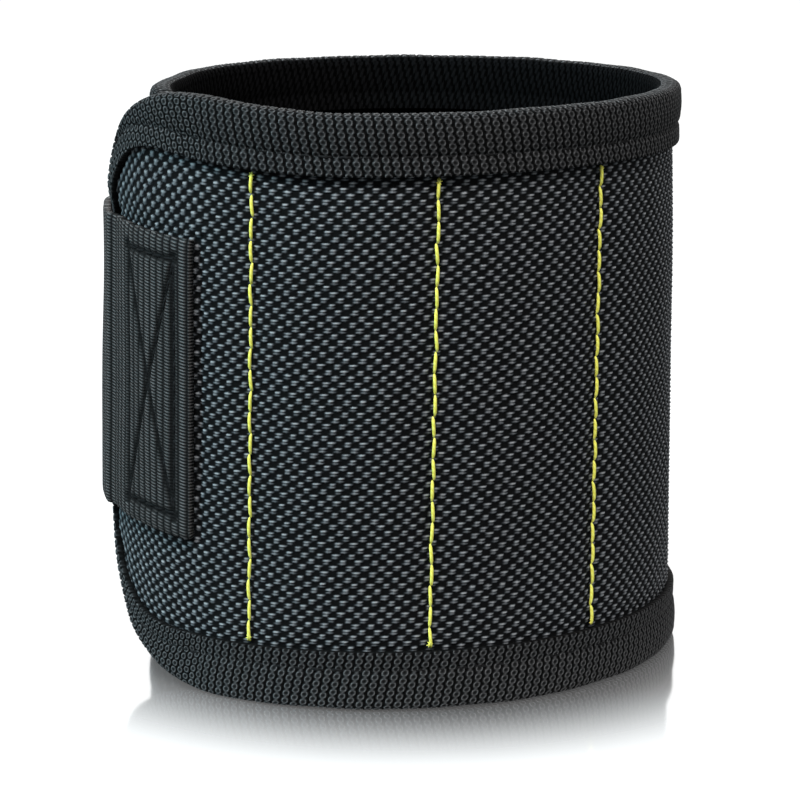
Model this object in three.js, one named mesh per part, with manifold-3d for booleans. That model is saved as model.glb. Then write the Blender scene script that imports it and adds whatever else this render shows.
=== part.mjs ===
// Magnetic wristband: a padded fabric band coiled into a cuff, with disc magnets sewn into five pockets,
// a folded binding round every edge, and an elastic strap that closes it with hook and loop.
// Millimetres, +Z up. The cuff stands on its bottom edge, and its front faces -Y.
// Angles run round the cuff from the middle of the front, positive towards +X.
import * as THREE from "three";
import { mergeVertices } from "three/addons/utils/BufferGeometryUtils.js";
import Module from "manifold-3d";

const { clamp, degToRad, lerp, smoothstep } = THREE.MathUtils;
const wasm = await Module();
wasm.setup();

// Driving dimensions, in millimetres
const cuffRadius = 46; // to the outer face of the binding at the front
const firstSeamOffset = -21.1; // first pocket seam, from the middle of the front
const flapLength = 45.5; // from the first seam to the outer end of the band
const flapTuck = 1.5; // how far the flap's end is drawn in from the cuff's round
const flapCorner = 38;
const tailUnderlap = 14; // how far the inner end reaches beneath the flap
const tailCorner = 14;
const flapSlack = 1.45; // free space between the flap and the inner end
const coilSettle = 10; // the coil is fully drawn in this far before the flap's end

const bindingWidth = 10;
const endBindingShare = 0.35; // of that width is left where the tape is gathered round an end
const bindingThickness = 0.8;
const bindingChamfer = 0.9;
const bindingCrown = 0.06; // slight swell of a leaf between its edges
const panelThickness = 0.9;
const liningThickness = 0.8;
const pinchedRise = 0.5; // what is left of a pocket's swell at its seams

const magnetDiameter = 16;
const magnetThickness = 2;
const magnetClearance = 0.3;
const padWall = 1.65; // foam beside a magnet
const padWeb = 2.9; // foam between two magnets
const padCap = 2.2; // foam above and below a column of magnets
const padMargin = 4.3; // from a pad's side to the seam
const padEdge = 4.5; // from a pad's end to the binding
const widePocketExtra = 11.5;

const threadWidth = 0.7;
const threadHeight = 0.6;

const strapHeight = 45.5;
const strapRise = 2.1; // strap's middle above the band's middle
const strapThickness = 1.2;
const strapSewnLength = 35; // on the flap
const strapFreeLength = 22; // from the flap's end to the hook tape
const strapTipLength = 44;
const strapTipCorner = 7;
const strapRamp = 2.5; // length in which the strap climbs on to the end binding
const boxSeamInset = 3.3;
const boxSeamClear = 7; // from the box seam to the strap's climb
const hookThickness = 1.2;
const hookInset = 2.5;
const loopThickness = 1.1;
const loopHeight = 60;
const loopInset = 6; // from the last seam, and from the inner end's binding

// Clearances, in millimetres
const fabricGap = 0.15; // between pieces that are sewn together
const hingeGap = 0.4; // between the bodies at a fold
const closureGap = 0.3; // between the hook tape and the loop panel

// Counts and facets
const pocketCount = 5;
const widePocket = 2; // the pocket at the side of the cuff is wider than the rest
const magnetRows = ["bottom", "middle", "top"];
const magnetsPerPocket = magnetRows.length;
const magnetSides = 24;
const cornerSteps = 8;
const lineSteps = 8; // facets along each line of the box seam
const facetAngle = degToRad(6);
const gatherTurn = degToRad(52); // of a corner, after which its binding is fully gathered
const fullTurn = 2 * Math.PI;
const mergeTolerance = 1e-4;

// Depths below the binding's outer face, layer by layer
const panelFace = bindingThickness + fabricGap;
const panelBack = panelFace + panelThickness;
const liningFace = panelBack + fabricGap;
const liningBack = liningFace + liningThickness;
const innerLeafFace = liningBack + fabricGap;
const edgeThickness = innerLeafFace + bindingThickness;
const magnetBulge = cuffRadius - Math.sqrt(cuffRadius ** 2 - (magnetDiameter / 2) ** 2);
const padThickness = magnetThickness + magnetBulge + magnetClearance;
const padFace = panelBack + fabricGap;
const padBack = padFace + padThickness;
const liningSink = padBack + fabricGap - liningFace;

// Heights and widths that follow from the magnets
const magnetHole = magnetDiameter + 2 * magnetClearance;
const magnetSpacing = magnetHole + padWeb;
const padHeight = (magnetsPerPocket - 1) * magnetSpacing + magnetHole + 2 * padCap;
const bandHeight = padHeight + 2 * (padEdge + bindingWidth);
const pocketWidth = magnetHole + 2 * (padWall + padMargin);
const bandMiddle = bandHeight / 2;
const strapMiddle = bandMiddle + strapRise;

// The closure's stack decides how far the inner end is coiled in
const loopFace = loopThickness + fabricGap - panelFace;
const coilStep = flapTuck + edgeThickness + loopFace + flapSlack;
const tailRadius = cuffRadius - coilStep;
const strapRunRadius = cuffRadius - coilStep / 2;

// How far from the flap's end its binding still lies beneath the strap
const strapHalf = strapHeight / 2;
const strapReach = strapHalf + strapRise - (bandMiddle - flapCorner);
const innerCorner = flapCorner - endBindingShare * bindingWidth;
const endBindingReach = flapCorner - Math.sqrt(innerCorner ** 2 - strapReach ** 2);

// Angles of the seams, the folds and the ends
const seamAngles = Array.from({ length: pocketCount + 1 }, (_, i) => {
  const extra = i > widePocket ? widePocketExtra : 0;
  return (firstSeamOffset + i * pocketWidth + extra) / cuffRadius;
});
const foldSeams = { flap: 0, back: 3, tail: pocketCount };
const foldOffset = (threadWidth / 2 + fabricGap + hingeGap / 2) / cuffRadius;
const flapFold = seamAngles[foldSeams.flap] - foldOffset;
const backFold = seamAngles[foldSeams.back] + foldOffset;
const tailFold = seamAngles[foldSeams.tail] + foldOffset;
const halfFold = hingeGap / 2 / cuffRadius;
const flapEnd = seamAngles[0] - flapLength / cuffRadius;
const tailEnd = fullTurn + flapEnd + tailUnderlap / tailRadius;
const coilStart = tailFold;
const coilEnd = fullTurn + flapEnd - coilSettle / tailRadius;
const strapStart = flapEnd + strapSewnLength / cuffRadius;
const strapFold = flapEnd - halfFold;
const tipFold = flapEnd - strapFreeLength / strapRunRadius;
const strapEnd = tipFold - strapTipLength / strapRunRadius;
const endBindingEdge = flapEnd + (endBindingReach + 2 * fabricGap) / cuffRadius;
const strapRampEnd = endBindingEdge + strapRamp / cuffRadius;

// Radius of the binding's outer face: round at the front, tucked at the flap, coiled in towards the tail.
function bandRadius(angle) {
  const alongFlap = clamp((seamAngles[0] - angle) / (seamAngles[0] - flapEnd), 0, 1);
  const coiled = smoothstep(angle, coilStart, coilEnd);
  return cuffRadius - flapTuck * alongFlap ** 2 - coilStep * coiled;
}

// Radius of the strap's inner face: on the panel, over the end binding, then down on to the loop panel.
function strapRadius(angle) {
  if (angle >= flapEnd) {
    const climb = clamp((strapRampEnd - angle) / (strapRampEnd - endBindingEdge), 0, 1);
    return bandRadius(angle) + fabricGap + lerp(-panelFace, 0, climb);
  }
  const overBinding = cuffRadius - flapTuck + fabricGap;
  const overLoop = bandRadius(angle + fullTurn) + loopFace + closureGap + hookThickness + fabricGap;
  return lerp(overLoop, overBinding, smoothstep(angle, tipFold, flapEnd));
}

// How far the surface's outward normal turns from the radius where the coil draws in.
function normalTurn(angle) {
  const slope = (bandRadius(angle + halfFold) - bandRadius(angle - halfFold)) / (2 * halfFold);
  return Math.atan2(slope, bandRadius(angle));
}

// A geometry with only its positions, merged into one closed surface that faces outwards.
function closedSurface(geometry) {
  const bare = new THREE.BufferGeometry();
  bare.setAttribute("position", geometry.getAttribute("position"));
  bare.setIndex(geometry.index);
  const merged = mergeVertices(bare, mergeTolerance);
  const corner = merged.getAttribute("position");
  const order = merged.index.array;
  const [a, b, c] = [new THREE.Vector3(), new THREE.Vector3(), new THREE.Vector3()];
  let volume = 0;
  for (let i = 0; i < order.length; i += 3) {
    a.fromBufferAttribute(corner, order[i]);
    b.fromBufferAttribute(corner, order[i + 1]);
    c.fromBufferAttribute(corner, order[i + 2]);
    volume += a.dot(b.cross(c));
  }
  if (volume < 0) {
    for (let i = 0; i < order.length; i += 3) {
      [order[i + 1], order[i + 2]] = [order[i + 2], order[i + 1]];
    }
  }
  merged.computeVertexNormals();
  return merged;
}

// Sweeps a flat section through stations and wraps it round the cuff.
// A section point is [height off the carrying radius, run across the station];
// a station turns the run into an angle (across, per millimetre) and a height (up, per millimetre).
function sweep(section, stations, radiusAt = bandRadius) {
  const steps = stations.length - 1;
  const shape = new THREE.Shape(section.map(([out, run]) => new THREE.Vector2(out, run)));
  const geometry = new THREE.ExtrudeGeometry(shape, { depth: steps, steps, bevelEnabled: false });
  const position = geometry.getAttribute("position");
  for (let i = 0; i < position.count; i++) {
    const station = stations[Math.round(position.getZ(i))];
    const run = position.getY(i);
    const lift = station.lift && Math.abs(run) <= padHeight / 2 + fabricGap ? station.lift : 0;
    const angle = station.angle + run * station.across;
    const radius = radiusAt(angle) + position.getX(i) + lift;
    const height = station.height + run * station.up;
    position.setXYZ(i, radius * Math.sin(angle), -radius * Math.cos(angle), height);
  }
  return closedSurface(geometry);
}

function rectangle(inner, outer, half = 1) {
  return [
    [inner, -half],
    [outer, -half],
    [outer, half],
    [inner, half],
  ];
}

// Evenly spaced angles, both ends included, close enough for a round look.
function anglesBetween(from, to) {
  const count = Math.max(1, Math.ceil(Math.abs(to - from) / facetAngle));
  return Array.from({ length: count + 1 }, (_, i) => lerp(from, to, i / count));
}

// Stations of a plain strip between two angles, whose section runs up and down from its middle.
function stripStations(angles, height, half) {
  return angles.map((angle) => ({ angle, height, across: 0, up: half }));
}

// Stations of a strip whose far end has round corners, all inset from its outline.
function roundedStations(from, end, { corner, height, half, inset, radius }) {
  const away = Math.sign(from - end) / radius;
  const stations = stripStations(anglesBetween(from, end + away * corner), height, half - inset);
  for (let i = 1; i <= cornerSteps; i++) {
    const turn = (i / cornerSteps) * (Math.PI / 2);
    const distance = corner - (corner - inset) * Math.sin(turn);
    const up = half - corner + (corner - inset) * Math.cos(turn);
    stations.push({ angle: end + away * distance, height, across: 0, up });
  }
  return stations;
}

// Stations of a binding along the top edge, whose section runs down from that edge.
function topEdgeStations(angles) {
  return angles.map((angle) => ({ angle, height: bandHeight, across: 0, up: -1 }));
}

function mirrored(stations) {
  return stations.map((s) => ({ ...s, height: bandHeight - s.height, up: -s.up }));
}

// Stations of a binding along the top edge, round the end's two corners and back along the bottom edge.
// The tape is gathered to a part of its width as it turns each corner.
function endBindingStations(from, end, corner, radius) {
  const away = Math.sign(from - end) / radius;
  const upper = topEdgeStations(anglesBetween(from, end + away * corner));
  for (let i = 1; i <= cornerSteps; i++) {
    const turn = (i / cornerSteps) * (Math.PI / 2);
    const share = lerp(1, endBindingShare, smoothstep(turn, 0, gatherTurn));
    upper.push({
      angle: end + away * corner * (1 - Math.sin(turn)),
      height: bandHeight - corner * (1 - Math.cos(turn)),
      across: share * away * Math.sin(turn),
      up: -share * Math.cos(turn),
    });
  }
  return [...upper, ...mirrored(upper).reverse()];
}

// The folded tape's section: an outer leaf, a fold along the edge and an inner leaf.
function bindingSection() {
  const middle = bindingWidth / 2;
  return [
    [-bindingChamfer, 0],
    [0, bindingChamfer],
    [bindingCrown, middle],
    [0, bindingWidth],
    [-bindingThickness, bindingWidth],
    [bindingCrown - bindingThickness, middle],
    [-bindingThickness, bindingThickness],
    [-innerLeafFace, bindingThickness],
    [-innerLeafFace - bindingCrown, middle],
    [-innerLeafFace, bindingWidth],
    [-edgeThickness, bindingWidth],
    [-edgeThickness - bindingCrown, middle],
    [-edgeThickness, bindingChamfer],
    [bindingChamfer - edgeThickness, 0],
  ];
}

// The lining's section: against the panel at both edges, sunk in between to hold the pads.
function quiltedSection() {
  const edge = bandMiddle - bindingThickness - fabricGap;
  const slope = bandMiddle - bindingWidth - fabricGap;
  const pad = padHeight / 2 + fabricGap;
  const face = (depth) => [
    [-depth, -edge],
    [-depth, -slope],
    [-depth - liningSink, -pad],
    [-depth - liningSink, pad],
    [-depth, slope],
    [-depth, edge],
  ];
  return [...face(liningFace), ...face(liningBack).reverse()];
}

// Stations of a quilted lining: sunk at each pocket's pad, pinched back at each seam and at both ends.
function quiltedStations(from, to, seams) {
  const margin = padMargin / cuffRadius;
  const pinched = liningSink - pinchedRise;
  const stations = [];
  const add = (angle, lift) => stations.push({ angle, height: bandMiddle, across: 0, up: 1, lift });
  add(from, pinched);
  seams.slice(1).forEach((next, i) => {
    if (i > 0) add(seams[i], pinched);
    anglesBetween(seams[i] + margin, next - margin).forEach((angle) => add(angle, 0));
  });
  add(to, pinched);
  return stations;
}

// A closed geometry as a solid that can be cut or joined, and back again.
function solidOf(geometry) {
  return new wasm.Manifold(
    new wasm.Mesh({
      numProp: 3,
      vertProperties: new Float32Array(geometry.getAttribute("position").array),
      triVerts: new Uint32Array(geometry.index.array),
    }),
  );
}

function geometryOf(solid) {
  const mesh = solid.getMesh();
  const geometry = new THREE.BufferGeometry();
  geometry.setAttribute("position", new THREE.BufferAttribute(mesh.vertProperties, 3));
  geometry.setIndex(new THREE.BufferAttribute(mesh.triVerts, 1));
  geometry.computeVertexNormals();
  return geometry;
}

const finishes = {
  panel: { color: 0x1b1f23, roughness: 0.75, metalness: 0 },
  lining: { color: 0x101214, roughness: 0.9, metalness: 0 },
  binding: { color: 0x1d1d1e, roughness: 0.85, metalness: 0 },
  webbing: { color: 0x232523, roughness: 0.85, metalness: 0 },
  thread: { color: 0xf2e63a, roughness: 0.55, metalness: 0 },
  darkThread: { color: 0x0d0d0e, roughness: 0.6, metalness: 0 },
  foam: { color: 0x3a3b3d, roughness: 0.95, metalness: 0 },
  magnet: { color: 0xb9bcc0, roughness: 0.25, metalness: 1 },
  hook: { color: 0x141414, roughness: 0.6, metalness: 0 },
  loop: { color: 0x17181a, roughness: 1, metalness: 0 },
};

// The pieces are drawn about the cuff's own axis, and the cuff is then centred on its box.
const wristband = new THREE.Group();
const cuff = new THREE.Group();
wristband.add(cuff);

function addPiece(name, geometry, finish) {
  const mesh = new THREE.Mesh(geometry, new THREE.MeshStandardMaterial(finishes[finish]));
  mesh.name = name;
  cuff.add(mesh);
  return mesh;
}

const panelLayer = rectangle(-panelBack, -panelFace);
const flatLiningLayer = rectangle(-liningBack, -liningFace);
const edgeInset = bindingThickness + fabricGap;

// Two stretches of the band hold the magnet pockets, between the folds.
const pocketStretches = [
  {
    name: "front",
    from: flapFold + halfFold,
    to: backFold - halfFold,
    seams: seamAngles.slice(foldSeams.flap, foldSeams.back + 1),
  },
  {
    name: "back",
    from: backFold + halfFold,
    to: tailFold - halfFold,
    seams: seamAngles.slice(foldSeams.back, foldSeams.tail + 1),
  },
];

for (const { name, from, to, seams } of pocketStretches) {
  const angles = anglesBetween(from, to);
  addPiece(
    `${name}_outer_panel`,
    sweep(panelLayer, stripStations(angles, bandMiddle, bandMiddle - edgeInset)),
    "panel",
  );
  addPiece(
    `${name}_lining`,
    sweep(quiltedSection(), quiltedStations(from, to, seams)),
    "lining",
  );
  addPiece(`${name}_top_binding`, sweep(bindingSection(), topEdgeStations(angles)), "binding");
  addPiece(
    `${name}_bottom_binding`,
    sweep(bindingSection(), mirrored(topEdgeStations(angles))),
    "binding",
  );
}

// The flap and the tail are unpadded, and each has one binding round its end.
const looseEnds = [
  { name: "flap", from: flapFold - halfFold, end: flapEnd, corner: flapCorner, radius: cuffRadius },
  { name: "tail", from: tailFold + halfFold, end: tailEnd, corner: tailCorner, radius: tailRadius },
];

for (const { name, from, end, corner, radius } of looseEnds) {
  const outline = { corner, height: bandMiddle, half: bandMiddle, inset: edgeInset, radius };
  addPiece(`${name}_outer_panel`, sweep(panelLayer, roundedStations(from, end, outline)), "panel");
  addPiece(`${name}_lining`, sweep(flatLiningLayer, roundedStations(from, end, outline)), "lining");
  addPiece(
    `${name}_binding`,
    sweep(bindingSection(), endBindingStations(from, end, corner, radius)),
    "binding",
  );
}

// A disc across the wall at one place in a pocket, for a magnet or for the hole that holds it.
function placeDisc(target, angle, height, depth) {
  const radius = bandRadius(angle) - depth;
  target.position.set(radius * Math.sin(angle), -radius * Math.cos(angle), height);
  target.rotation.z = angle - normalTurn(angle);
  target.updateMatrix();
}

const magnetDepth = padBack - fabricGap - magnetThickness / 2;
const holeDepth = 3 * padThickness; // well past both faces of the pad
const holeGeometry = new THREE.CylinderGeometry(
  magnetHole / 2,
  magnetHole / 2,
  holeDepth,
  magnetSides,
);
const magnetGeometry = new THREE.CylinderGeometry(
  magnetDiameter / 2,
  magnetDiameter / 2,
  magnetThickness,
  magnetSides,
);

for (let pocket = 0; pocket < pocketCount; pocket++) {
  const margin = (padMargin + fabricGap) / cuffRadius;
  const from = seamAngles[pocket] + margin;
  const to = seamAngles[pocket + 1] - margin;
  const middle = (from + to) / 2;
  const stations = stripStations(anglesBetween(from, to), bandMiddle, padHeight / 2);
  let pad = solidOf(sweep(rectangle(-padBack, -padFace), stations));
  magnetRows.forEach((row, i) => {
    const height = bandMiddle + (i - (magnetsPerPocket - 1) / 2) * magnetSpacing;
    const hole = new THREE.Object3D();
    placeDisc(hole, middle, height, magnetDepth);
    const cutter = closedSurface(holeGeometry.clone().applyMatrix4(hole.matrix));
    pad = pad.subtract(solidOf(cutter));
    const magnet = addPiece(`magnet_${pocket + 1}_${row}`, magnetGeometry.clone(), "magnet");
    placeDisc(magnet, middle, height, magnetDepth);
  });
  addPiece(`pocket_pad_${pocket + 1}`, geometryOf(pad), "foam");
}

// A raised line of thread: a bar through the given stations, with its width across them.
function threadBar(stations, base, radiusAt) {
  return sweep(rectangle(base, base + threadHeight, threadWidth / 2), stations, radiusAt);
}

seamAngles.forEach((angle, i) => {
  const top = bandHeight - bindingWidth - fabricGap;
  const stations = [bandHeight - top, top].map((height) => ({
    angle,
    height,
    across: 1 / bandRadius(angle),
    up: 0,
  }));
  addPiece(`pocket_seam_${i + 1}`, threadBar(stations, fabricGap - panelFace), "thread");
});

// The strap's webbing lies on its own radius, in three lengths with a fold between each two.
const webbing = rectangle(0, strapThickness);
const baseAngles = [
  ...anglesBetween(strapStart, strapRampEnd),
  ...anglesBetween(endBindingEdge, flapEnd),
];
addPiece(
  "strap_base",
  sweep(webbing, stripStations(baseAngles, strapMiddle, strapHalf), strapRadius),
  "webbing",
);
const runAngles = anglesBetween(strapFold - halfFold, tipFold + halfFold);
addPiece(
  "strap_webbing",
  sweep(webbing, stripStations(runAngles, strapMiddle, strapHalf), strapRadius),
  "webbing",
);
const tipOutline = {
  corner: strapTipCorner,
  height: strapMiddle,
  half: strapHalf,
  inset: 0,
  radius: strapRunRadius,
};
addPiece(
  "strap_tip_webbing",
  sweep(webbing, roundedStations(tipFold - halfFold, strapEnd, tipOutline), strapRadius),
  "webbing",
);
const hookFrom = tipFold - hookInset / strapRunRadius;
addPiece(
  "hook_tape",
  sweep(
    rectangle(-hookThickness - fabricGap, -fabricGap),
    roundedStations(hookFrom, strapEnd, { ...tipOutline, inset: hookInset }),
    strapRadius,
  ),
  "hook",
);

// The loop panel is sewn on the tail's outer face, where the hook tape presses on it.
const loopFrom = tailFold + loopInset / tailRadius;
const loopTo = tailEnd - (bindingWidth + loopInset) / tailRadius;
addPiece(
  "loop_panel",
  sweep(
    rectangle(fabricGap - panelFace, loopFace),
    stripStations(anglesBetween(loopFrom, loopTo), bandMiddle, loopHeight / 2),
  ),
  "loop",
);

// The box seam holds the strap to the flap: four sides and two diagonals of thread, in one piece.
const boxNear = strapStart - boxSeamInset / cuffRadius;
const boxFar = strapRampEnd + boxSeamClear / cuffRadius;
const boxHalf = strapHalf - boxSeamInset;

// Stations along a straight line of the flat strap, whose section runs across that line.
function lineStations([fromAngle, fromHeight], [toAngle, toHeight]) {
  const along = new THREE.Vector2((toAngle - fromAngle) * cuffRadius, toHeight - fromHeight);
  along.normalize();
  return Array.from({ length: lineSteps + 1 }, (_, i) => ({
    angle: lerp(fromAngle, toAngle, i / lineSteps),
    height: lerp(fromHeight, toHeight, i / lineSteps),
    across: -along.y / cuffRadius,
    up: along.x,
  }));
}

const boxCorners = [
  [boxNear, strapMiddle - boxHalf],
  [boxNear, strapMiddle + boxHalf],
  [boxFar, strapMiddle + boxHalf],
  [boxFar, strapMiddle - boxHalf],
];
const boxLines = [
  [0, 1],
  [1, 2],
  [2, 3],
  [3, 0],
  [0, 2],
  [1, 3],
];
const boxSeam = boxLines
  .map(([i, j]) => lineStations(boxCorners[i], boxCorners[j]))
  .map((stations) => solidOf(threadBar(stations, strapThickness + fabricGap, strapRadius)))
  .reduce((joined, bar) => joined.add(bar));
addPiece("box_seam", geometryOf(boxSeam), "darkThread");

const box = new THREE.Box3().setFromObject(cuff);
const centre = box.getCenter(new THREE.Vector3());
cuff.position.set(-centre.x, -centre.y, -box.min.z);

// Where the folds are, as upright lines in the finished part's frame: each lies on the outer face.
function foldLine(angle, radius) {
  return [radius * Math.sin(angle) - centre.x, -radius * Math.cos(angle) - centre.y];
}
wristband.userData.foldLines = {
  flap: foldLine(flapFold, bandRadius(flapFold)),
  back: foldLine(backFold, bandRadius(backFold)),
  tail: foldLine(tailFold, bandRadius(tailFold)),
  strap: foldLine(strapFold, strapRadius(strapFold) + strapThickness),
  strapTip: foldLine(tipFold, strapRadius(tipFold) + strapThickness),
};

export default wristband;
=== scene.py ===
import math

import bmesh
import bpy
import numpy as np
from mathutils import Matrix, Vector


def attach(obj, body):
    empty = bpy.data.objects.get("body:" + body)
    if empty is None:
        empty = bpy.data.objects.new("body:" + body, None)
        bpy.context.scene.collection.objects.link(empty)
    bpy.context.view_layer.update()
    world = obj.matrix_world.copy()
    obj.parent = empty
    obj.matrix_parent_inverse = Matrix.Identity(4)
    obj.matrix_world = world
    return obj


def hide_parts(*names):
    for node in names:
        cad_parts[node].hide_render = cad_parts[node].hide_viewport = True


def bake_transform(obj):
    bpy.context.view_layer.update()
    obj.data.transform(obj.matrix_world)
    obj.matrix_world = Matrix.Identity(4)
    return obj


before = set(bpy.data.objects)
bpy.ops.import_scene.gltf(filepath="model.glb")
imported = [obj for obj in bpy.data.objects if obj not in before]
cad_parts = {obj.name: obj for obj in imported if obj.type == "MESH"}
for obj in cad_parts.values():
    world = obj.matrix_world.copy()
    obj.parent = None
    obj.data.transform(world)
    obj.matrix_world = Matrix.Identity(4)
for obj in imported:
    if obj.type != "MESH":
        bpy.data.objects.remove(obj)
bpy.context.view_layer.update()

scene = bpy.context.scene
scene.view_settings.view_transform = "Standard"

# Sizes of the band in millimetres, as the solids have them but for the tape's width
MM = 0.001
full_turn = 2 * math.pi
cuff_axis = (-0.2546, -0.8679)
cuff_radius = 46.0
band_height = 89.0
band_middle = band_height / 2
seam_offsets = (-21.1, 7.4, 35.9, 75.9, 104.4, 132.9)
seam_angles = [offset / cuff_radius for offset in seam_offsets]
fold_offset = 0.7 / cuff_radius
flap_length = 45.5
flap_tuck = 1.5
flap_corner = 38.0
flap_end = seam_angles[0] - flap_length / cuff_radius
tail_radius = 39.0
tail_corner = 14.0
tail_underlap = 14.0
tail_end = full_turn + flap_end + tail_underlap / tail_radius
coil_settle = 10.0
coil_start = seam_angles[5] + fold_offset
coil_end = full_turn + flap_end - coil_settle / tail_radius
binding_width = 9.1
gathered_share = 0.35
gather_turn = math.radians(52)
edge_thickness = 3.75
edge_inset = 0.95
panel_face = 0.95
lining_back = 2.8
lining_sink = 3.15
pad_margin = 4.3
pad_edge = 14.5
pad_clearance = 0.2
loop_face = 0.3
strap_thickness = 1.2
strap_gap = 0.15
strap_middle = band_middle + 2.1
strap_half = 22.75
strap_run_radius = 42.5
strap_sewn_length = 35.0
strap_free_length = 22.0
strap_tip_length = 44.0
strap_ramp = 2.5
strap_start = flap_end + strap_sewn_length / cuff_radius
tip_fold = flap_end - strap_free_length / strap_run_radius
strap_end = tip_fold - strap_tip_length / strap_run_radius
strap_split = (flap_end + tip_fold) / 2
strap_tip_corner = 7.0
end_binding_edge = flap_end + binding_width / cuff_radius
strap_ramp_end = end_binding_edge + strap_ramp / cuff_radius
hook_gap = 1.65
hook_inset = 2.5
box_inset = 3.3
box_clear = 7.0

# How the cloth has settled on the closed cuff: lengths in millimetres, heights above the floor
cloth_lean = 0.026
side_swell = 0.15
side_flare = 0.35
side_waist = 38
side_reach = 40
side_angle = math.radians(86)
side_spread = math.radians(35)
flap_rise = 1.2
rim_rise = 3.6
rim_angles = (math.radians(5), math.radians(68))
rim_heights = (66, 86)
flap_draw = 0.5
strap_press = 1.2
press_fade = 4
tail_angles = (math.radians(215), math.radians(255))
tail_lean = 2.6
tail_lean_start = 55
tail_foot = 30
tail_foot_share = 0.2
tail_lift = 3.5

# Pitches of the weaves in millimetres
float_pitch = 2.42
float_drift = 0.06
pick_pitch = 0.89
first_pick = 3
last_pick = 97
cord_pitch = 1.43
bar_pitch = 1.2
tape_slant = 0.2
rib_pitch = 1.6
ribs_in_group = 5
twill_pitch = 0.48
knit_pitch = 0.9
knit_course = 1.6
stitch_pitch = 3.25


def smooth_step(value, low, high):
    share = np.clip((value - low) / (high - low), 0, 1)
    return share * share * (3 - 2 * share)


def dent(distance, width):
    return np.exp(-((distance / width) ** 2))


# Radius of the binding's outer face: round at the front, tucked at the flap, coiled in towards the tail.
def band_radius(angle):
    along_flap = np.clip((seam_angles[0] - angle) / (seam_angles[0] - flap_end), 0, 1)
    coil_step = cuff_radius - tail_radius
    return cuff_radius - flap_tuck * along_flap**2 - coil_step * smooth_step(angle, coil_start, coil_end)


# Radius of the strap's inner face: on the panel, over the end binding, then down on to the loop panel.
def strap_radius(angle):
    climb = np.clip((strap_ramp_end - angle) / (strap_ramp_end - end_binding_edge), 0, 1)
    on_flap = band_radius(angle) + strap_gap - panel_face * (1 - climb * climb * (3 - 2 * climb))
    over_binding = cuff_radius - flap_tuck + strap_gap
    over_loop = band_radius(angle + full_turn) + loop_face + hook_gap
    free = over_loop + (over_binding - over_loop) * smooth_step(angle, tip_fold, flap_end)
    return np.where(angle >= flap_end, on_flap, free)


def towards_tail(angle):
    return smooth_step(angle, *tail_angles)


# How far the settled cloth is drawn in: swollen at the side, drawn in at the flap's end, most of all
# beneath the strap, and at the tail's edges.
def drawn_in(angle, height):
    at_flap = smooth_step(-angle, -seam_angles[0], -flap_end) * smooth_step(angle, tip_fold, flap_end)
    flare = side_flare * ((height - side_waist) / side_reach) ** 2
    side = dent(angle - side_angle, side_spread) * (side_swell + flare)
    low, high = strap_middle - strap_half, strap_middle + strap_half
    above_strap = smooth_step(height, high - 1, high + press_fade)
    under_strap = smooth_step(height, low - press_fade, high) * (1 - above_strap)
    flap = at_flap * (flap_draw + strap_press * under_strap * at_flap)
    tail = smooth_step(height, tail_lean_start, band_height)
    tail = tail + tail_foot_share * (1 - smooth_step(height, 0, tail_foot))
    return flap - side + tail_lean * towards_tail(angle) * tail


# A place on the settled cloth, which also leans a little, rises at the flap's end and rim, and is lifted
# off the floor at the tail.
def on_cuff(angle, height, out, carrier=band_radius):
    from_middle = height - band_middle
    at_flap = smooth_step(-angle, -seam_angles[0], -flap_end)
    at_rim = smooth_step(-angle, *rim_angles) * smooth_step(height, *rim_heights)
    off_floor = towards_tail(angle) * np.clip(1 - height / band_middle, 0, 1) ** 2
    rise = flap_rise * at_flap + rim_rise * at_rim + tail_lift * off_floor
    radius = carrier(angle) + out - drawn_in(angle, height)
    leaned = angle + cloth_lean / cuff_radius * from_middle
    x = cuff_axis[0] + radius * np.sin(leaned)
    y = cuff_axis[1] - radius * np.cos(leaned)
    return MM * np.column_stack((x, y, height + rise))


# Length along the band from the middle of the front, against angle
angle_table = np.radians(np.linspace(-200, 330, 2121))
radius_table = band_radius(angle_table)
length_table = np.concatenate(
    ([0], np.cumsum((radius_table[1:] + radius_table[:-1]) / 2 * np.diff(angle_table)))
)
length_table -= np.interp(0, angle_table, length_table)


def length_at(angle):
    return np.interp(angle, angle_table, length_table)


def angle_at(length):
    return np.interp(length, length_table, angle_table)


# Stations from start to stop that fall on whole parts of a weave's pitch, none too near the two ends.
least_share = 0.3


def even_stations(start, stop, step):
    inner = np.arange(math.floor(start / step), math.ceil(stop / step) + 1) * step
    least = least_share * step
    inner = inner[(inner > start + least) & (inner < stop - least)]
    return np.concatenate(([start], inner, [stop]))


# Relief of each cloth, from 0 in the gaps to 1 on the yarn. A float of the outer fabric is two strands, one
# above the other, measured in parts of a float and a pick.
strand_half_length = 0.26
strand_half_width = 0.3
strand_offset = 0.24
strand_sway = 0.03
strand_height = 0.62
# The upper strand stands higher; through the colour ramp this also makes it lighter as a painted highlight,
# and the lower strand darker as painted shade.
upper_rise = 0.1
uneven_rise = 0.08
ground_height = 0.28


def nylon_relief(along, up):
    pick = np.floor(up / pick_pitch)
    across = up / pick_pitch - pick - 0.5
    cell = along / float_pitch + 0.5 * (pick % 2) - float_drift * pick
    side = cell - np.floor(cell) - 0.5
    uneven = np.sin(12.99 * pick + 78.23 * np.floor(cell))
    upper = np.where(across > 0, 1, -1)
    beside = side - strand_sway * upper + strand_sway * uneven
    aside = (np.abs(across) - strand_offset) / strand_half_width
    strand = np.sqrt(np.clip(1 - (beside / strand_half_length) ** 2 - aside**2, 0, 1))
    height = strand_height + (upper_rise + uneven_rise * uneven) * upper
    return np.clip(ground_height + height * strand, 0, 1)


# The tape's beads stand in columns and are dished in the middle. Through the colour ramp the dish and the
# gaps between beads are painted shade, and the rims painted highlights.
bead_half_width = 0.47
bead_half_length = 0.51
bead_roundness = 2.4
bead_dish = 0.6
dish_width = 0.55


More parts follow.
